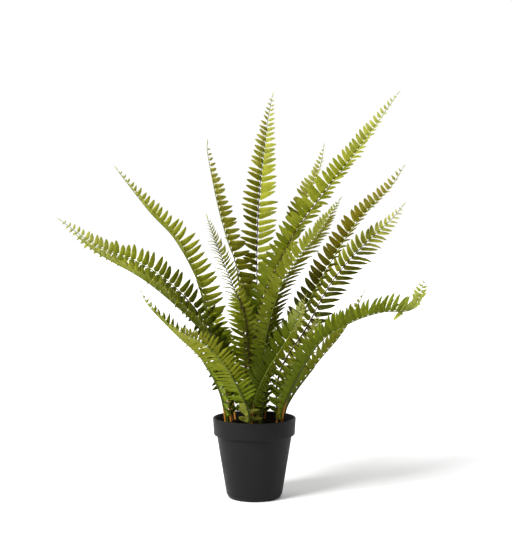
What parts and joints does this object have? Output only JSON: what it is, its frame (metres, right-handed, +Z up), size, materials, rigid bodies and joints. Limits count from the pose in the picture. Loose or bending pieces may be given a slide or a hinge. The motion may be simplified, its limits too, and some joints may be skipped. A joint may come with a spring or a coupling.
{
  "type": "potted boston fern",
  "caption": "Artificial Boston fern: arching fronds cut into leaflets on wire-cored stalks, standing in soil in a plain round black plastic pot.",
  "frame": {"origin": "centre of the flat underside of the pot, on the surface that it stands on", "axes": "+Z up along the pot's axis, -Y towards the front that the picture shows, +X to the right as seen from there"},
  "size_m": [0.5435, 0.4037, 0.6166],
  "materials": {
    "pot_plastic": "satin black, fine moulded grain",
    "potting_soil": "rough dark crumb over a heavy filling",
    "leaf_plastic": "soft satin green, yellower towards the tips",
    "stalk_plastic": "satin, orange-brown at the foot and dark brown above"
  },
  "bodies": {
    "root": {"frond_back_left_low_blade": "leaf_plastic", "frond_back_left_low_stalk": "stalk_plastic", "frond_back_left_tall_blade": "leaf_plastic", "frond_back_left_tall_stalk": "stalk_plastic", "frond_back_low_blade": "leaf_plastic", "frond_back_low_stalk": "stalk_plastic", "frond_back_right_tall_blade": "leaf_plastic", "frond_back_right_tall_stalk": "stalk_plastic", "frond_centre_tall_blade": "leaf_plastic", "frond_centre_tall_stalk": "stalk_plastic", "frond_front_low_blade": "leaf_plastic", "frond_front_low_stalk": "stalk_plastic", "frond_front_right_blade": "leaf_plastic", "frond_front_right_stalk": "stalk_plastic", "frond_inner_right_blade": "leaf_plastic", "frond_inner_right_stalk": "stalk_plastic", "frond_inner_short_blade": "leaf_plastic", "frond_inner_short_stalk": "stalk_plastic", "frond_left_front_blade": "leaf_plastic", "frond_left_front_stalk": "stalk_plastic", "frond_left_high_blade": "leaf_plastic", "frond_left_high_stalk": "stalk_plastic", "frond_left_long_blade": "leaf_plastic", "frond_left_long_stalk": "stalk_plastic", "frond_left_low_blade": "leaf_plastic", "frond_left_low_stalk": "stalk_plastic", "frond_right_drooping_blade": "leaf_plastic", "frond_right_drooping_stalk": "stalk_plastic", "frond_right_low_blade": "leaf_plastic", "frond_right_low_stalk": "stalk_plastic", "frond_right_short_blade": "leaf_plastic", "frond_right_short_stalk": "stalk_plastic", "frond_right_slender_blade": "leaf_plastic", "frond_right_slender_stalk": "stalk_plastic", "frond_right_sweeping_blade": "leaf_plastic", "frond_right_sweeping_stalk": "stalk_plastic", "frond_right_tall_blade": "leaf_plastic", "frond_right_tall_stalk": "stalk_plastic", "pot": "pot_plastic", "soil": "potting_soil"}
  },
  "joints": []
}
